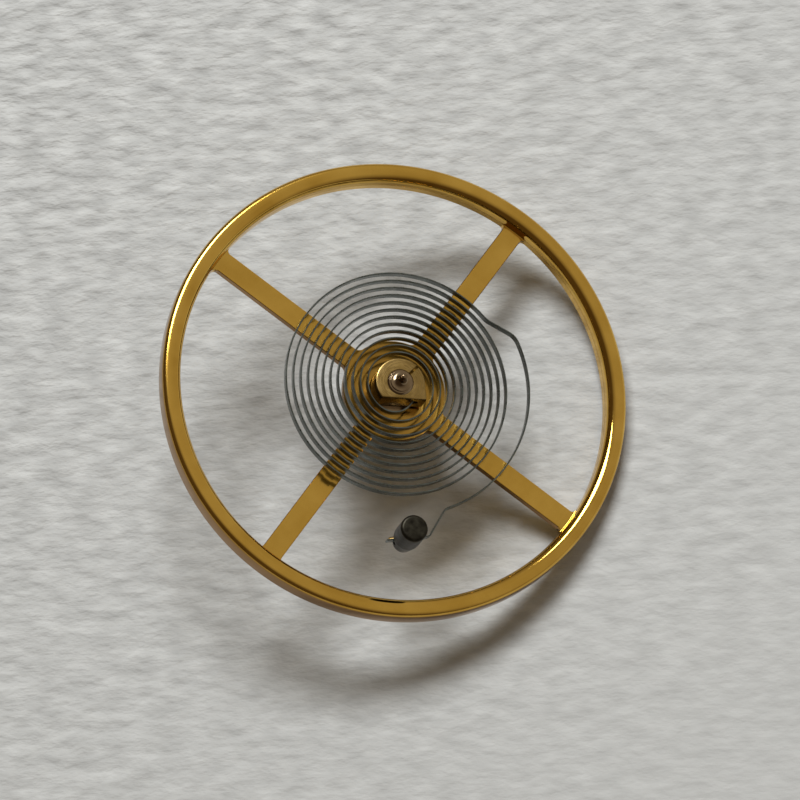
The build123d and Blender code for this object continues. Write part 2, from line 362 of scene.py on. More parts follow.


# %% [markdown]
# ## Gilt
#
# The wheel is an alloy plated with gold and burnished. Polished gold has almost no colour of
# its own: it is what it mirrors, tinted. So the shader is fully metallic, and the work goes
# into how clear the mirror is. Faint rings from the lathe cover it, its polish comes and goes,
# and a thin brown bloom lies in patches where fingers and years have dulled it.
#
# Only the faces were burnished. The rim's turned outside and the sawn sides of the arms kept a
# The rim's outer wall and the sawn sides of the arms are coloured dark brown. The hub round the
# collet is darkened too: painted shade, for the hairspring and collet above it. Masks find them: a
# side is where the surface faces away from the staff's direction, and the distance from the staff
# tells the hub and the rim's two walls apart. The rim's inner edge was rounded with a
# burnisher, so its mirror is the clearest: there the roughness drops to about a third, and
# the window's glint stays thin and bright beside the dark of the room.

# %% Gilt
SIDE_STARTS, SIDE_IN_FULL = 0.55, 0.15
INNER_WALL_AT, INNER_WALL_HALF_WIDTH = 4.65 * MM, 0.10 * MM
ROUNDING_AT, ROUNDING_HALF_WIDTH = 4.69 * MM, 0.10 * MM
HUB_SHADE_STARTS, HUB_SHADE_IN_FULL, HUB_SHADE_SHARE = 2.2 * MM, 0.9 * MM, 0.5
BURNISHED_SHARE = 0.35

gilt, tree, shader = finish("gilt", Metallic=1.0)
bloom = clouds(tree, place(tree), 0.9, detail=4.0)
rings = lathe_marks(tree)
colour = tinted(tree, bloom, (0.62, 0.36, 0.060), (0.80, 0.50, 0.105))

normal = node(tree, "ShaderNodeTexCoord").outputs["Normal"]
upwards = node(tree, "ShaderNodeSeparateXYZ", {0: normal}).outputs["Z"]
sideways = ramp(tree, maths(tree, "ABSOLUTE", upwards), SIDE_STARTS, SIDE_IN_FULL)
level_place = node(
    tree, "ShaderNodeVectorMath", {0: place(tree), 1: (1, 1, 0)}, operation="MULTIPLY"
).outputs[0]
reach = node(
    tree, "ShaderNodeVectorMath", {0: level_place}, operation="LENGTH"
).outputs["Value"]

on_inner_wall = maths(tree, "COMPARE", reach, INNER_WALL_AT, INNER_WALL_HALF_WIDTH)
on_sides = maths(tree, "MULTIPLY", sideways, maths(tree, "SUBTRACT", 1.0, on_inner_wall))
# painted shade: the hub round the collet, under the hairspring, darkens towards the staff
painted_hub_shade = ramp(tree, reach, HUB_SHADE_STARTS, HUB_SHADE_IN_FULL, 0.0, HUB_SHADE_SHARE)
# film: the dark brown of the sides, and the painted shade on the hub
film = maths(tree, "MAXIMUM", on_sides, painted_hub_shade)
tree.links.new(mixed(tree, film, colour, (0.30, 0.15, 0.030)), shader.inputs["Base Color"])

polish = maths(tree, "ADD", between(tree, bloom, 0.17, 0.10), between(tree, rings, 0.0, 0.05))
on_rounding = maths(tree, "COMPARE", reach, ROUNDING_AT, ROUNDING_HALF_WIDTH)
less = maths(tree, "MULTIPLY_ADD", on_rounding, BURNISHED_SHARE - 1, 1.0)
polish = maths(tree, "MULTIPLY", polish, less)
tree.links.new(polish, shader.inputs["Roughness"])
bumped(tree, shader, rings, 0.0006)
print("gilt:", len(tree.nodes), "nodes")

# %% [markdown]
# ## Polished steel
#
# Staff and rollers are hardened steel. The pivots are burnished almost to a mirror, and finer
# rings than the wheel's show on the shoulders. The colour is darker and browner than clean
# steel's: a painted reflection of the gilt and brass around the staff.

# %% Polished steel
steel, tree, shader = finish("polished_steel", Metallic=1.0)
rings = lathe_marks(tree, size_mm=0.02)
drift = clouds(tree, place(tree), 0.4)
# painted reflection: the brown tint stands for the gilt and brass that the steel mirrors
colour = tinted(tree, drift, (0.21, 0.145, 0.085), (0.35, 0.255, 0.16))
tree.links.new(colour, shader.inputs["Base Color"])
tree.links.new(between(tree, rings, 0.12, 0.24), shader.inputs["Roughness"])
bumped(tree, shader, rings, 0.0004)
print("polished steel:", len(tree.nodes), "nodes")

# %% [markdown]
# ## Spring steel
#
# A hairspring is drawn wire rolled to a ribbon, so its marks run along the blade. The colour
# is a dull grey with a green cast, and much of its darkness is painted shade, where the close coils
# shade and mirror one another. The blade glints where it faces the window.

# %% Spring steel
spring_steel, tree, shader = finish("spring_steel", Metallic=1.0)
drift = clouds(tree, place(tree), 0.5)
# painted shade: the dark colour stands for the coils shading and mirroring one another
colour = tinted(tree, drift, (0.075, 0.084, 0.076), (0.15, 0.163, 0.150))
tree.links.new(colour, shader.inputs["Base Color"])
satin = clouds(tree, place(tree), 0.15)
tree.links.new(between(tree, satin, 0.22, 0.38), shader.inputs["Roughness"])
bumped(tree, shader, clouds(tree, place(tree), 0.02, stretch=(1, 1, 6)), 0.0003)
print("spring steel:", len(tree.nodes), "nodes")

# %% [markdown]
# ## Brass
#
# The collet and the two taper pins are turned from brass, a little greyer than the gilding.
# It isn't plated, so it has tarnished in patches, and the rings of the lathe show.

# %% Brass
brass, tree, shader = finish("brass", Metallic=1.0)
film = clouds(tree, place(tree), 0.25, detail=4.0)
colour = tinted(tree, film, (0.28, 0.18, 0.055), (0.44, 0.30, 0.115))
tree.links.new(colour, shader.inputs["Base Color"])
rings = lathe_marks(tree, size_mm=0.025)
tree.links.new(between(tree, rings, 0.20, 0.34), shader.inputs["Roughness"])
bumped(tree, shader, rings, 0.0005)
print("brass:", len(tree.nodes), "nodes")

# %% [markdown]
# ## Dark steel
#
# The stud is nearly black. Such a colour comes from heat and oil, and it isn't quite metal any
# more, so the shader is a little less than fully metallic. Its surface is satin and finely
# pitted, and one noise drives both its colour and its gloss: where the skin is thin it is paler
# and duller.

# %% Dark steel
dark_steel, tree, shader = finish("dark_steel", Metallic=0.85)
film = clouds(tree, place(tree), 0.12, detail=4.0)
colour = tinted(tree, film, (0.010, 0.008, 0.005), (0.034, 0.030, 0.020))
tree.links.new(colour, shader.inputs["Base Color"])
tree.links.new(between(tree, film, 0.30, 0.48), shader.inputs["Roughness"])
bumped(tree, shader, clouds(tree, place(tree), 0.03), 0.001)
print("dark steel:", len(tree.nodes), "nodes")

# %% [markdown]
# ## Ruby and shellac
#
# The impulse jewel is synthetic ruby: a glass with a high index and a deep red. Shellac is the
# amber resin that holds the jewel in its roller. It has set as a glossy drop, so it gets a
# clear coat over a hazy body.

# %% Ruby and shellac
ruby, tree, shader = finish(
    "ruby", Transmission_Weight=0.85, IOR=1.77, Coat_Weight=0.3, Coat_Roughness=0.03
)
flaws = clouds(tree, place(tree), 0.15)
colour = tinted(tree, flaws, (0.52, 0.010, 0.045), (0.68, 0.025, 0.085))
tree.links.new(colour, shader.inputs["Base Color"])
tree.links.new(between(tree, flaws, 0.02, 0.07), shader.inputs["Roughness"])

shellac_resin, tree, shader = finish("shellac", Coat_Weight=0.6, Coat_Roughness=0.05, IOR=1.52)
haze = clouds(tree, place(tree), 0.08)
colour = tinted(tree, haze, (0.20, 0.060, 0.012), (0.38, 0.14, 0.03))
tree.links.new(colour, shader.inputs["Base Color"])
tree.links.new(between(tree, haze, 0.10, 0.22), shader.inputs["Roughness"])
bumped(tree, shader, haze, 0.004)
print("materials so far:", len(bpy.data.materials))

# %% [markdown]
# ## The wheel
#
# A plain balance is made in two steps. First the whole wheel is turned, rim and web in one
# piece. Then four windows are sawn out of the web, which leaves the arms and the hub. The
# same order works in Blender: one outline is spun, and four tools are cut out of it.
#
# The rim is rounded at both upper edges, the inner one more, and its face stands three tenths
# of a millimetre above the arms. The wheel's bore is wider than its seat on the staff by a gap
# far too small to see, so that no two pieces share a face.

# %% Turn the wheel's blank
WHEEL_RADIUS = 5.0
RIM_INNER_RADIUS = 4.60
RIM_LEVELS = (1.85, 2.37)
RIM_OUTER_ROUNDING = 0.11
RIM_INNER_ROUNDING = 0.18
RIM_LOWER_BEVEL = 0.03
RIM_CORNER_BREAK = 0.01
WEB_FILLET = 0.02
ARM_LEVELS = (1.88, 2.06)
WHEEL_SEAT_RADIUS = 0.40
SEAT_GAP = 0.003

low_arm, high_arm = ARM_LEVELS
low_rim, high_rim = RIM_LEVELS
wheel_bore = WHEEL_SEAT_RADIUS + SEAT_GAP
wheel_blank = turned(softened([
    (wheel_bore, low_arm, 0),
    (RIM_INNER_RADIUS, low_arm, 0),
    (RIM_INNER_RADIUS + RIM_LOWER_BEVEL, low_rim, RIM_CORNER_BREAK),
    (WHEEL_RADIUS - RIM_LOWER_BEVEL, low_rim, RIM_CORNER_BREAK),
    (WHEEL_RADIUS, low_rim + RIM_LOWER_BEVEL, RIM_CORNER_BREAK),
    (WHEEL_RADIUS, high_rim, RIM_OUTER_ROUNDING),
    (RIM_INNER_RADIUS, high_rim, RIM_INNER_ROUNDING),
    (RIM_INNER_RADIUS, high_arm, WEB_FILLET),
    (wheel_bore, high_arm, 0),
], arc_steps=6), steps=360)
wheel = draft("gilt_wheel", wheel_blank)
print("blank:", len(wheel.data.polygons), "faces")

# %% [markdown]
# Each window has two straight sides along the arms, a curved side at the hub and one at the
# rim, with rounded corners. The tool is a stack of such outlines. It flares by a hair at the
# arms' faces, so that one cut also breaks the window's sharp edges all round. At the rim it
# stops just short of the wall, which keeps the wall as the lathe left it.

# %% Saw out the four windows
ARM_COUNT = 4
ARM_HALF_WIDTH = 0.23
HUB_RADIUS = 1.10
HUB_CORNER = 0.16
RIM_CORNER = 0.10
EDGE_BREAK = 0.012
RIM_SKIN = 0.004
OVERRUN = 0.03


def arc(middle, radius, start, end, steps):
    """Points of an arc in the plane, angles in radians."""
    return [
        Vector((middle[0] + radius * cos(start + (end - start) * i / steps),
                middle[1] + radius * sin(start + (end - start) * i / steps)))
        for i in range(steps + 1)
    ]


def window_outline(grow):
    """The window between the arms along X and Y, with every side but the rim's moved outwards."""
    half = ARM_HALF_WIDTH - grow
    hub = HUB_RADIUS - grow
    fillet = HUB_CORNER + grow
    reach = RIM_INNER_RADIUS - RIM_SKIN
    rim_fillet = RIM_CORNER + grow
    hub_turn = acos((half + fillet) / (hub + fillet))
    rim_turn = acos((half + rim_fillet) / (reach - rim_fillet))
    hub_middle = Vector((cos(hub_turn), sin(hub_turn))) * (hub + fillet)
    rim_middle = Vector((cos(rim_turn), sin(rim_turn))) * (reach - rim_fillet)
    first_half = (
        arc((0, 0), hub, pi / 4, hub_turn, 24)
        + arc(hub_middle, fillet, pi + hub_turn, pi, 10)[1:]
        + arc(rim_middle, rim_fillet, pi, rim_turn, 8)
        + arc((0, 0), reach, rim_turn, pi / 4, 60)[1:]
    )
    mirrored = [Vector((point.y, point.x)) for point in reversed(first_half)]
    return first_half + mirrored[1:-1]


for quarter in range(ARM_COUNT):
    spin = Matrix.Rotation(quarter * 2 * pi / ARM_COUNT, 3, "Z")
    layers = [
        (low_arm - OVERRUN, EDGE_BREAK), (low_arm, EDGE_BREAK), (low_arm + EDGE_BREAK, 0),
        (high_arm - EDGE_BREAK, 0), (high_arm, EDGE_BREAK), (high_arm + OVERRUN, EDGE_BREAK),
    ]
    cut(wheel, stacked([
        [spin @ Vector((point.x, point.y, level)) for point in window_outline(grow)]
        for level, grow in layers
    ]))
finished(wheel, gilt, "balance", "balance_wheel")

# %% [markdown]
# ## The staff
#
# The staff is one turned steel part. Each end is a pivot a tenth of a millimetre thick, which
# flares like a trumpet into the body. The flange carries the wheel, which is riveted to it,
# and the collet is pressed on above. Since it is all one turning, it is one outline.

# %% Staff
STAFF_TOP = 3.07
PIVOT_RADIUS = 0.055
PIVOT_LENGTH = 0.18
PIVOT_FLARE = 0.15
PIVOT_ROUNDING = 0.025
ARBOR_RADIUS = 0.22
FLANGE_RADIUS = 0.64
FLANGE_FOOT = 1.58
FLANGE_BEVEL = 0.14
RIVET_RADIUS = 0.48
RIVET_HEIGHT = 0.05
COLLET_SEAT_RADIUS = 0.28
COLLET_TOP = 2.66
SEAT_BEVEL = 0.03
STEEL_BREAK = 0.012
RIVET_ROUNDING = 0.015
SEAT_BREAK = 0.006
SHOULDER_BREAK = 0.004
FLARE_STEPS = 14


def trumpet(level, length, upward):
    """The flare from a pivot out to the arbor: an arc that leaves the pivot straight."""
    width = ARBOR_RADIUS - PIVOT_RADIUS
    radius = (width ** 2 + length ** 2) / (2 * width)
    opening = pi - atan2(length, width - radius)
    flare = [
        Vector((PIVOT_RADIUS + radius - radius * cos(opening * i / FLARE_STEPS),
                level + upward * radius * sin(opening * i / FLARE_STEPS)))
        for i in range(FLARE_STEPS + 1)
    ]
    return [(point.x, point.y, 0) for point in flare]


rivet_top = high_arm + RIVET_HEIGHT
shoulder = COLLET_TOP + SEAT_BEVEL
staff_outline = (
    [(0, 0, 0), (PIVOT_RADIUS, 0, PIVOT_ROUNDING)]
    + trumpet(PIVOT_LENGTH, PIVOT_FLARE, 1)
    + [
        (ARBOR_RADIUS, FLANGE_FOOT, 0),
        (FLANGE_RADIUS - FLANGE_BEVEL, FLANGE_FOOT, STEEL_BREAK),
        (FLANGE_RADIUS, FLANGE_FOOT + FLANGE_BEVEL, STEEL_BREAK),
        (FLANGE_RADIUS, low_arm, 0),
        (WHEEL_SEAT_RADIUS, low_arm, 0),
        (WHEEL_SEAT_RADIUS, high_arm, 0),
        (RIVET_RADIUS, high_arm, 0),
        (RIVET_RADIUS, rivet_top, RIVET_ROUNDING),
        (COLLET_SEAT_RADIUS, rivet_top, 0),
        (COLLET_SEAT_RADIUS, COLLET_TOP, SEAT_BREAK),
        (COLLET_SEAT_RADIUS - SEAT_BEVEL, shoulder, SEAT_BREAK),
        (ARBOR_RADIUS, shoulder, SHOULDER_BREAK),
    ]
    + trumpet(STAFF_TOP - PIVOT_LENGTH, PIVOT_FLARE, -1)[::-1]
    + [(PIVOT_RADIUS, STAFF_TOP, PIVOT_ROUNDING), (0, STAFF_TOP, 0)]
)
staff = draft("steel_staff", turned(softened(staff_outline), steps=160))
finished(staff, steel, "balance", "balance_staff")

# %% [markdown]
# ## The rollers
#
# Under the wheel sit two small steel discs. The larger one holds the ruby that takes the push
# of the lever, once each swing, and the smaller one keeps the lever from tripping: the hollow
# in its edge lets the lever's point pass. They can hardly be seen in the photograph, but the
# part is looked at from below as well.


# %% Rollers
def rod(start, end, radius, steps=64):
    """A closed round bar between two points, used as a drill."""
    start, end = Vector(start), Vector(end)
    turn = (end - start).to_track_quat("Z", "Y")
    turns = [2 * pi * i / steps for i in range(steps)]
    return stacked([
        [foot + turn @ Vector((radius * cos(t), radius * sin(t), 0)) for t in turns]
        for foot in (start, end)
    ])


ROLLERS_MEET = 0.88
ROLLER_EDGE = 0.015
COLLAR_FILLET = 0.02
SAFETY_ROLLER_RADIUS = 0.46
SAFETY_ROLLER_LEVELS = (0.46, 0.62)
SAFETY_COLLAR_RADIUS = 0.32
PASSING_HOLLOW_RADIUS = 0.13

roller_bore = ARBOR_RADIUS + SEAT_GAP
low_safety, high_safety = SAFETY_ROLLER_LEVELS
safety_collar_top = ROLLERS_MEET - SEAT_GAP
safety_roller = draft("safety_roller_disc", turned(softened([
    (roller_bore, low_safety, 0),
    (SAFETY_ROLLER_RADIUS, low_safety, ROLLER_EDGE),
    (SAFETY_ROLLER_RADIUS, high_safety, ROLLER_EDGE),
    (SAFETY_COLLAR_RADIUS, high_safety, COLLAR_FILLET),
    (SAFETY_COLLAR_RADIUS, safety_collar_top, STEEL_BREAK),
    (roller_bore, safety_collar_top, 0),
]), steps=160))
cut(safety_roller, rod(
    (0, SAFETY_ROLLER_RADIUS, low_safety - OVERRUN),
    (0, SAFETY_ROLLER_RADIUS, high_safety + OVERRUN), PASSING_HOLLOW_RADIUS))
finished(safety_roller, steel, "balance", "safety_roller")

JEWEL_ORBIT_RADIUS = 0.59
JEWEL_RADIUS = 0.12
JEWEL_FLAT_OFFSET = 0.066


def jewel_ring(gap, level):
    """The jewel's D-shaped section: round, with its flat on the side away from the staff."""
    half_flat = acos((JEWEL_FLAT_OFFSET + gap) / (JEWEL_RADIUS + gap))
    round_side = arc((0, JEWEL_ORBIT_RADIUS), JEWEL_RADIUS + gap,
                     pi / 2 + half_flat, 5 * pi / 2 - half_flat, 40)
    return [Vector((point.x, point.y, level)) for point in round_side]


IMPULSE_ROLLER_RADIUS = 0.78
IMPULSE_ROLLER_LEVELS = (1.00, 1.16)
IMPULSE_COLLAR_RADIUS = 0.36

low_impulse, high_impulse = IMPULSE_ROLLER_LEVELS
impulse_roller = draft("impulse_roller_disc", turned(softened([
    (roller_bore, ROLLERS_MEET, 0),
    (IMPULSE_COLLAR_RADIUS, ROLLERS_MEET, STEEL_BREAK),
    (IMPULSE_COLLAR_RADIUS, low_impulse, COLLAR_FILLET),
    (IMPULSE_ROLLER_RADIUS, low_impulse, ROLLER_EDGE),
    (IMPULSE_ROLLER_RADIUS, high_impulse, ROLLER_EDGE),
    (roller_bore, high_impulse, 0),
]), steps=200))
cut(impulse_roller, stacked([
    jewel_ring(SEAT_GAP, low_impulse - OVERRUN), jewel_ring(SEAT_GAP, high_impulse + OVERRUN)]))
finished(impulse_roller, steel, "balance", "impulse_roller")

# %% [markdown]
# ## The jewel and its shellac
#
# The jewel is a pin with a D-shaped section, rounded at its free tip. It is stacked like the
# windows' tool, with smaller outlines at the ends. A drop of shellac on top of the roller holds
# it. The drop is a dome, spun like the rest and then made uneven with a noise, because a bead
# of melted resin never sets quite round.

# %% Jewel and shellac
JEWEL_LOW_TIP = 0.67
JEWEL_TIP_ROUNDING = 0.012
JEWEL_TOP_BREAK = 0.004

jewel = draft("ruby_pin", stacked([
    jewel_ring(-JEWEL_TIP_ROUNDING, JEWEL_LOW_TIP),
    jewel_ring(-JEWEL_TIP_ROUNDING / 4, JEWEL_LOW_TIP + JEWEL_TIP_ROUNDING / 4),
    jewel_ring(0, JEWEL_LOW_TIP + JEWEL_TIP_ROUNDING),
    jewel_ring(0, high_impulse - JEWEL_TOP_BREAK),
    jewel_ring(-JEWEL_TOP_BREAK, high_impulse),
]))
finished(jewel, ruby, "balance", "impulse_jewel")

SHELLAC_RADIUS = 0.17
SHELLAC_HEIGHT = 0.087
DOME_STEPS = 12
BEAD_MEAN, BEAD_SPREAD, BEAD_LUMPS_PER_MM = 0.93, 0.12, 6

bead_foot = high_impulse + SEAT_GAP
dome = [
    Vector((SHELLAC_RADIUS * sin(tilt), bead_foot + SHELLAC_HEIGHT * cos(tilt)))
    for tilt in [i * pi / (2 * DOME_STEPS) for i in range(DOME_STEPS + 1)]
]
bead_shape = turned([Vector((0, bead_foot))] + dome[::-1], steps=72)
for corner in bead_shape.verts:
    corner.co.xy *= BEAD_MEAN + BEAD_SPREAD * noise.noise(corner.co.xyz * BEAD_LUMPS_PER_MM)
bmesh.ops.translate(bead_shape, verts=bead_shape.verts, vec=(0, JEWEL_ORBIT_RADIUS, 0))
bead = draft("shellac_bead", bead_shape)
finished(bead, shellac_resin, "balance", "shellac")

# %% [markdown]
# ## The collet
#
# The collet is a split brass ring that grips the staff and holds the hairspring's inner end.
# This one has a lug on one side, cut square, and the blade goes in through a hole along it.
# Its outline isn't round, so it is not turned: the same outline is stacked at six levels, a
# little smaller at the bottom and in three steps toward the top for the rounded edges, and then
# bored, slit and drilled.

# %% Collet
COLLET_RADIUS = 0.53
COLLET_LEVELS = (2.14, COLLET_TOP)
LUG_FLAT_OFFSET = 0.355
LUG_CORNER_OFFSET = 0.66
LUG_TURN = radians(3.0)
COLLET_HOLE_OFFSET = 0.45
COLLET_HOLE_RADIUS = 0.10
COLLET_LOWER_BREAK = 0.012
COLLET_TOP_EDGE = ((0, 0.03), (0.006, 0.010), (0.014, 0.003), (0.03, 0))
BLADE_LEVEL = 2.42
SLIT_TURN = radians(80.0)
SLIT_MIDDLE = (0.45, 0, 2.5)
SLIT_SAW_SIZE = (0.5, 0.06, 1.2)
COLLET_DRILL_REACH = 0.7

flat_turn = LUG_TURN - acos(LUG_FLAT_OFFSET / LUG_CORNER_OFFSET)
side_turn = LUG_TURN + acos(COLLET_RADIUS / LUG_CORNER_OFFSET)


def facing(turn):
    """The flat direction at an angle round the staff."""
    return Vector((cos(turn), sin(turn)))


def collet_ring(inset, level):
    """The collet's outline, moved inwards: most of a circle, and the lug's two straight sides."""
    ring_radius = COLLET_RADIUS - inset
    flat_offset = LUG_FLAT_OFFSET - inset
    round_end = flat_turn - acos(flat_offset / ring_radius) + 2 * pi
    outline = arc((0, 0), ring_radius, side_turn, round_end, 120)
    one, two = facing(flat_turn), facing(side_turn)
    across = one.x * two.y - one.y * two.x
    corner = Vector((
        flat_offset * two.y - ring_radius * one.y, ring_radius * one.x - flat_offset * two.x
    )) / across
    return [Vector((point.x, point.y, level)) for point in outline + [corner]]


low_collet, high_collet = COLLET_LEVELS
collet = draft("collet_ring", stacked(
    [
        collet_ring(COLLET_LOWER_BREAK, low_collet),
        collet_ring(0, low_collet + COLLET_LOWER_BREAK),
    ]
    + [collet_ring(inset, high_collet - depth) for inset, depth in COLLET_TOP_EDGE]
))
cut(collet, rod(
    (0, 0, low_collet - OVERRUN), (0, 0, high_collet + OVERRUN),
    COLLET_SEAT_RADIUS + SEAT_GAP, steps=120))
slit_place = Matrix.Rotation(SLIT_TURN, 4, "Z") @ Matrix.Translation(SLIT_MIDDLE)
slit_size = Matrix.Diagonal((*SLIT_SAW_SIZE, 1))
slit_saw = bmesh.new()
bmesh.ops.create_cube(slit_saw, size=1, matrix=slit_place @ slit_size)
cut(collet, slit_saw)
cut(collet, rod(
    (COLLET_HOLE_OFFSET, -COLLET_DRILL_REACH, BLADE_LEVEL),
    (COLLET_HOLE_OFFSET, COLLET_DRILL_REACH, BLADE_LEVEL), COLLET_HOLE_RADIUS))
finished(collet, brass, "balance", "hairspring_collet")

# %% [markdown]
# ## The hairspring's path
#
# The hairspring is a ribbon of steel, three hundredths of a millimetre thick, wound on edge.
# Its middle line could be typed as a spiral formula, but it starts in the collet, kinks out
# to a wider arc and ends in the stud. So it is walked instead: from a place and a heading,
# run straight for a length, or bend through an angle at a radius. The coils are half turns
# whose radius grows by half the pitch each time, as a spring winder lays them.

# %% Walk along the hairspring
BLADE_THICKNESS = 0.033
BLADE_HEIGHT = 0.17
COIL_PITCH = 0.159
HALF_TURNS = 23
INNER_COIL_RADIUS = 0.645
BEND_STEP = radians(3)
INNER_TAIL = 0.05
KINK_LEAD_TURN = radians(13.0)

hole_exit = (COLLET_RADIUS - COLLET_HOLE_OFFSET * facing(side_turn).x) / facing(side_turn).y
hole_entry = (LUG_FLAT_OFFSET - COLLET_HOLE_OFFSET * facing(flat_turn).x) / facing(flat_turn).y


class Walk:
    """A path of places and headings, laid one run or bend after another."""

    def __init__(self, place, heading):
        self.stations = [(Vector(place), heading, 0.0)]

    def step(self, place, heading, length):
        """Note a place and its heading, a length of blade after the last one."""
        self.stations.append((place, heading, self.stations[-1][2] + length))

    def run(self, length, steps=6):
        """Go straight on for a length."""
        place, heading, _ = self.stations[-1]
        for i in range(1, steps + 1):
            self.step(place + facing(heading) * length * i / steps, heading, length / steps)

    def bend(self, radius, angle):
        """Bend to the left through an angle, or to the right where it is negative."""
        place, heading, _ = self.stations[-1]
        side = 1 if angle > 0 else -1
        middle = place + facing(heading + side * pi / 2) * radius
        steps = max(3, int(abs(angle) / BEND_STEP + 0.5))
        for i in range(1, steps + 1):
            now = heading + angle * i / steps
            spot = middle - facing(now + side * pi / 2) * radius
            self.step(spot, now, radius * abs(angle) / steps)


path = Walk((COLLET_HOLE_OFFSET, hole_exit + INNER_TAIL), -pi / 2)
path.run(hole_exit + INNER_TAIL + INNER_COIL_RADIUS - COLLET_HOLE_OFFSET)
path.bend(COLLET_HOLE_OFFSET, -pi / 2)
for half_turn in range(HALF_TURNS):
    path.bend(INNER_COIL_RADIUS + (half_turn + 0.5) * COIL_PITCH / 2, -pi)
path.bend(INNER_COIL_RADIUS + (HALF_TURNS + 0.5) * COIL_PITCH / 2, -KINK_LEAD_TURN)
print(f"coils: {HALF_TURNS / 2} turns, {path.stations[-1][2]:.1f} mm of blade so far")

# %% [markdown]
# After the coils comes the terminal. It bends out, runs straight until an inward bend will
# just meet the wider arc, and follows that arc round the staff. Near its end a short bend out,
# a run and a tight bend in turn it towards the stud, which it enters straight. The length of
# the first run is found by solving for where the bend touches the arc.

# %% The kink, the terminal arc and the tail
KINK_OUT_TURN = radians(21.0)
KINK_OUT_RADIUS = 0.50
KINK_IN_RADIUS = 0.40
TERMINAL_RADIUS = 2.83
TERMINAL_END = radians(-33.0)
TAIL_OUT_TURN, TAIL_OUT_RADIUS = radians(39.0), 0.18
TAIL_RUN = 0.60
TAIL_IN_TURN, TAIL_IN_RADIUS = radians(52.0), 0.10
TAIL_TO_STUD = 0.46
STUD_RADIUS = 0.29
OUTER_TAIL = 0.12

path.bend(KINK_OUT_RADIUS, KINK_OUT_TURN)
place_now, heading_now, _ = path.stations[-1]
ahead, right_hand = facing(heading_now), facing(heading_now - pi / 2)
bend_middle = place_now + right_hand * KINK_IN_RADIUS
along = bend_middle.dot(ahead)
meeting_reach = TERMINAL_RADIUS - KINK_IN_RADIUS
kink_run = sqrt(along ** 2 - bend_middle.length_squared + meeting_reach ** 2) - along
path.run(kink_run)
bend_middle += ahead * kink_run
meeting_turn = atan2(bend_middle.y, bend_middle.x)
path.bend(KINK_IN_RADIUS, meeting_turn - pi / 2 - (KINK_OUT_TURN - KINK_LEAD_TURN))
path.bend(TERMINAL_RADIUS, TERMINAL_END - meeting_turn)
path.bend(TAIL_OUT_RADIUS, TAIL_OUT_TURN)
path.run(TAIL_RUN)
path.bend(TAIL_IN_RADIUS, -TAIL_IN_TURN)
tail_foot, tail_heading, _ = path.stations[-1]
stud_place = tail_foot + facing(tail_heading) * TAIL_TO_STUD
path.run(TAIL_TO_STUD + STUD_RADIUS + OUTER_TAIL, steps=12)

# %% [markdown]
# ## The blade
#
# The blade's mesh is first made straight, as a ribbon stacked along its length. Then every
# point goes to its place on the coil.

# %% Hairspring
BLADE_BREAK = 0.006

half_thick, half_high = BLADE_THICKNESS / 2, BLADE_HEIGHT / 2
flat_half, upright_half = half_thick - BLADE_BREAK, half_high - BLADE_BREAK
blade_section = [
    (flat_half, -half_high), (half_thick, -upright_half),
    (half_thick, upright_half), (flat_half, half_high),
    (-flat_half, half_high), (-half_thick, upright_half),
    (-half_thick, -upright_half), (-flat_half, -half_high),
]
spring = draft("hairspring_blade", stacked([
    [Vector((length, side, rise)) for side, rise in blade_section] for _, _, length in path.stations
]))
spring.data.transform(Matrix.Scale(MM, 4))
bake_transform(spring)
for number, (place_there, heading, _) in enumerate(path.stations):
    for i, (side, rise) in enumerate(blade_section):
        flat = place_there + facing(heading + pi / 2) * side
        corner = spring.data.vertices[number * len(blade_section) + i]
        corner.co = (flat.x, flat.y, BLADE_LEVEL + rise)
finished(spring, spring_steel, None, "hairspring")

# %% [markdown]
# ## The pins
#
# A taper pin wedges the blade in its hole. The hole is round and the blade passes through its
# middle, so the pin fills one side of it and is flat where it meets the blade.

# %% Taper pins
PIN_THICK_RADIUS = 0.092
PIN_THIN_RADIUS = 0.075
PIN_OVERHANG = 0.07
PIN_GAP = 0.004
PIN_ENDS = ((0, 0.80), (0.03, 1), (0.97, 1), (1, 0.80))


def taper_pin(name, start, end, staff_side):
    """A pin from its thick end to its thin end, in the half of the hole towards the staff."""
    start, end = Vector(start), Vector(end)
    blade_side = BLADE_THICKNESS / 2 + PIN_GAP
    rings = []
    for share, shrink in PIN_ENDS:
        radius = (PIN_THICK_RADIUS + (PIN_THIN_RADIUS - PIN_THICK_RADIUS) * share) * shrink
        first = atan2(blade_side, sqrt(radius ** 2 - blade_side ** 2))
        section = arc((0, 0), radius, first, pi - first, 24)
        foot = start.lerp(end, share)
        rings.append([foot + Vector((0, 0, 1)) * p.x + staff_side * p.y for p in section])
    pin = draft(name, stacked(rings))
    print(f"{name}: {(end - start).length:.2f} mm long")
    return pin


collet_pin = taper_pin(
    "collet_taper_pin", (COLLET_HOLE_OFFSET, hole_entry - PIN_OVERHANG, BLADE_LEVEL),
    (COLLET_HOLE_OFFSET, hole_exit + PIN_OVERHANG, BLADE_LEVEL), Vector((-1, 0, 0)))
finished(collet_pin, brass, "balance", "collet_pin")

# %% [markdown]
# ## The stud
#
# The stud is a blackened steel post that a bridge of the movement holds. Its nose is tapered,
# and its upper edge is rounded. It is turned like the staff, only about its own middle, and
# then drilled through along the blade's last run. Its pin is driven in from the thick end.

# %% Stud
STUD_LEVELS = (2.17, 3.29)
STUD_NOSE_RADIUS = 0.22
STUD_NOSE_LENGTH = 0.45
STUD_NOSE_ROUNDING = 0.03
STUD_SHOULDER_ROUNDING = 0.05
STUD_TOP_ROUNDING = 0.07
STUD_HOLE_RADIUS = 0.11
STUD_DRILL_REACH = 0.5

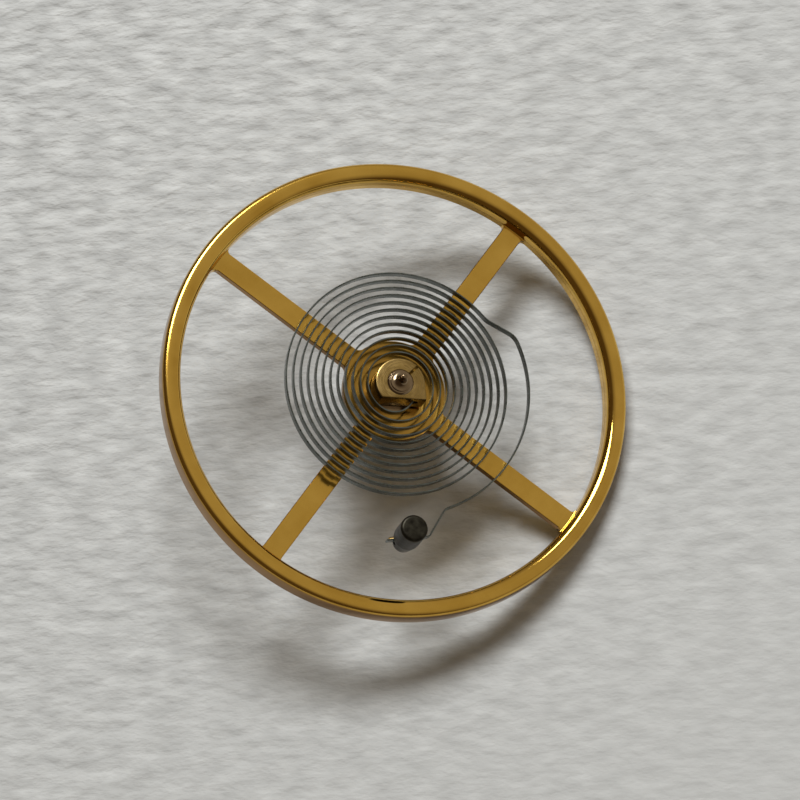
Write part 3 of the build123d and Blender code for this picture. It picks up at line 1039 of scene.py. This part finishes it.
low_stud, high_stud = STUD_LEVELS
stud = draft("stud_post", turned(softened([
    (0, low_stud, 0),
    (STUD_NOSE_RADIUS, low_stud, STUD_NOSE_ROUNDING),
    (STUD_RADIUS, low_stud + STUD_NOSE_LENGTH, STUD_SHOULDER_ROUNDING),
    (STUD_RADIUS, high_stud, STUD_TOP_ROUNDING),
    (0, high_stud, 0),
], arc_steps=8), steps=128, foot=(stud_place.x, stud_place.y, 0)))
tail_way = facing(tail_heading)
stud_middle = Vector((stud_place.x, stud_place.y, BLADE_LEVEL))
tail_line = Vector((tail_way.x, tail_way.y, 0))
drill_way = tail_line * STUD_DRILL_REACH
cut(stud, rod(stud_middle - drill_way, stud_middle + drill_way, STUD_HOLE_RADIUS))
finished(stud, dark_steel, "stud_side", "stud")

staff_side = Vector((tail_way.y, -tail_way.x, 0))
half_pin = tail_line * (STUD_RADIUS + PIN_OVERHANG)
stud_pin = taper_pin("stud_taper_pin", stud_middle - half_pin, stud_middle + half_pin, staff_side)
finished(stud_pin, brass, "stud_side", "stud_pin")

# %% [markdown]
# ## The paper
#
# The balance lies on a sheet of pale paper. It rests on the tip of its lower pivot and on one
# point of the rim, so in the wheel's own frame the paper is the tilted one. The shadow tells
# which point of the rim that is: it starts there and moves away from the rim as the rim rises.
#
# At this size the paper's fibres show as ridges, coarser toward one corner. They are made with
# noise that is drawn out along the sheet. It does two things: it bumps the surface, and it
# makes the crests paler than the troughs, where less light comes in.
#
# The sheet is see-through from behind, so that the rollers can be looked at from below.

# %% Paper
RESTING_SIDE = radians(24.0)
SHEET_HALF_WIDTH = 150 * MM
LEAN = atan2(RIM_LEVELS[0], WHEEL_RADIUS - RIM_LOWER_BEVEL)
toward_rest = Vector((cos(RESTING_SIDE), sin(RESTING_SIDE), 0))
paper_normal = Vector((0, 0, cos(LEAN))) - toward_rest * sin(LEAN)
paper_across = (view_right - paper_normal * view_right.dot(paper_normal)).normalized()
paper_shape = bmesh.new()
bmesh.ops.create_grid(paper_shape, x_segments=24, y_segments=24, size=SHEET_HALF_WIDTH)
paper = draft("paper_sheet", paper_shape)
paper_axes = Matrix((paper_across, paper_normal.cross(paper_across), paper_normal)).transposed()
paper.matrix_world = paper_axes.to_4x4()
print(f"paper: leans {degrees(LEAN):.1f} degrees")

COARSE_WAY = (-0.6, 0.8, 0)
COARSE_REACH = 12 * MM
LEAST_COARSE_SHARE = 0.3
ALONG_THE_GRAIN = (0.5, 1, 1)

pale_paper, tree, shader = finish("pale_paper", Roughness=0.9)
where = place(tree)
toward_corner = node(
    tree, "ShaderNodeVectorMath", {0: where, 1: COARSE_WAY}, operation="DOT_PRODUCT"
).outputs["Value"]
coarseness = ramp(tree, toward_corner, -COARSE_REACH, COARSE_REACH, LEAST_COARSE_SHARE, 1.0)
ridges = clouds(tree, where, 0.33, detail=1.5, stretch=ALONG_THE_GRAIN)
crest = maths(tree, "MULTIPLY_ADD", maths(tree, "SUBTRACT", ridges, 0.5), coarseness, 0.5)
colour = tinted(tree, crest, (0.415, 0.410, 0.395), (0.595, 0.590, 0.570))
tree.links.new(colour, shader.inputs["Base Color"])
fibres = clouds(tree, where, 0.30, detail=3.0, stretch=ALONG_THE_GRAIN)
bumped(tree, shader, fibres, 0.14, strength=coarseness)
output = tree.nodes["Material Output"]
behind = node(tree, "ShaderNodeNewGeometry").outputs["Backfacing"]
unseen = node(tree, "ShaderNodeBsdfTransparent").outputs[0]
mix = node(tree, "ShaderNodeMixShader", {0: behind, 1: shader.outputs[0], 2: unseen})
tree.links.new(mix.outputs[0], output.inputs["Surface"])
paper.data.materials.append(pale_paper)

# %% [markdown]
# ## The light
#
# One window stands beyond the wheel, about sixty degrees above the paper and a little to the
# left. The shadow's length gives its height, and the blur of the shadow's edge gives its size.
# The room fills the rest: the shadows are warmer than the lit paper, so the room's light is
# warm and the window's is a little cool. Metal mirrors the room, and the photographed rim has
# a bright side and a dark one, so the room is brighter on the right than on the left.
#
# The lamp's power is set so that the paper renders about as its colour is written. An area
# lamp of P watts at a distance d lights a small sheet that faces it with P / (pi d**2), and a
# white sheet sends pi times less than that to the eye.

# %% Lamp and room
LAMP_DISTANCE = 300 * MM
LAMP_SHARE = 0.90
WINDOW_SIZE = (155 * MM, 100 * MM)
ROOM_DARK_UNTIL, ROOM_BRIGHT_FROM = 0.15, 0.80


def toward(right, up, eye):
    """A direction, from how far it goes to the picture's right, its top and the eye."""
    return (right * view_right + up * view_up + eye * to_eye).normalized()


lamp_way = toward(-0.28, 1.30, 1.0)
lamp_data = bpy.data.lights.new("window_light", "AREA")
lamp_data.shape = "RECTANGLE"
lamp_data.size, lamp_data.size_y = WINDOW_SIZE
lamp_data.color = (0.93, 0.97, 1.0)
lamp_data.energy = pi ** 2 * LAMP_DISTANCE ** 2 * LAMP_SHARE / lamp_way.dot(paper_normal)
lamp = bpy.data.objects.new("window_light", lamp_data)
lamp_across = (view_right - lamp_way * view_right.dot(lamp_way)).normalized()
lamp_axes = Matrix((lamp_across, lamp_way.cross(lamp_across), lamp_way)).transposed()
lamp.matrix_world = Matrix.Translation(lamp_way * LAMP_DISTANCE) @ lamp_axes.to_4x4()
scene.collection.objects.link(lamp)
print(f"lamp: {lamp_data.energy:.2f} W at {LAMP_DISTANCE} m")

room = bpy.data.worlds.new("room")
room.use_nodes = True
scene.world = room
tree = room.node_tree
direction = node(tree, "ShaderNodeTexCoord").outputs["Generated"]
bright_way = toward(0.75, 0.55, 0.36)
along = node(
    tree, "ShaderNodeVectorMath", {0: direction, 1: bright_way}, operation="DOT_PRODUCT"
).outputs["Value"]
share = ramp(tree, along, ROOM_DARK_UNTIL, ROOM_BRIGHT_FROM)
colour = mixed(tree, share, (0.085, 0.060, 0.038), (0.42, 0.385, 0.32))
background = tree.nodes["Background"]
tree.links.new(colour, background.inputs["Color"])
background.inputs["Strength"].default_value = 1.0
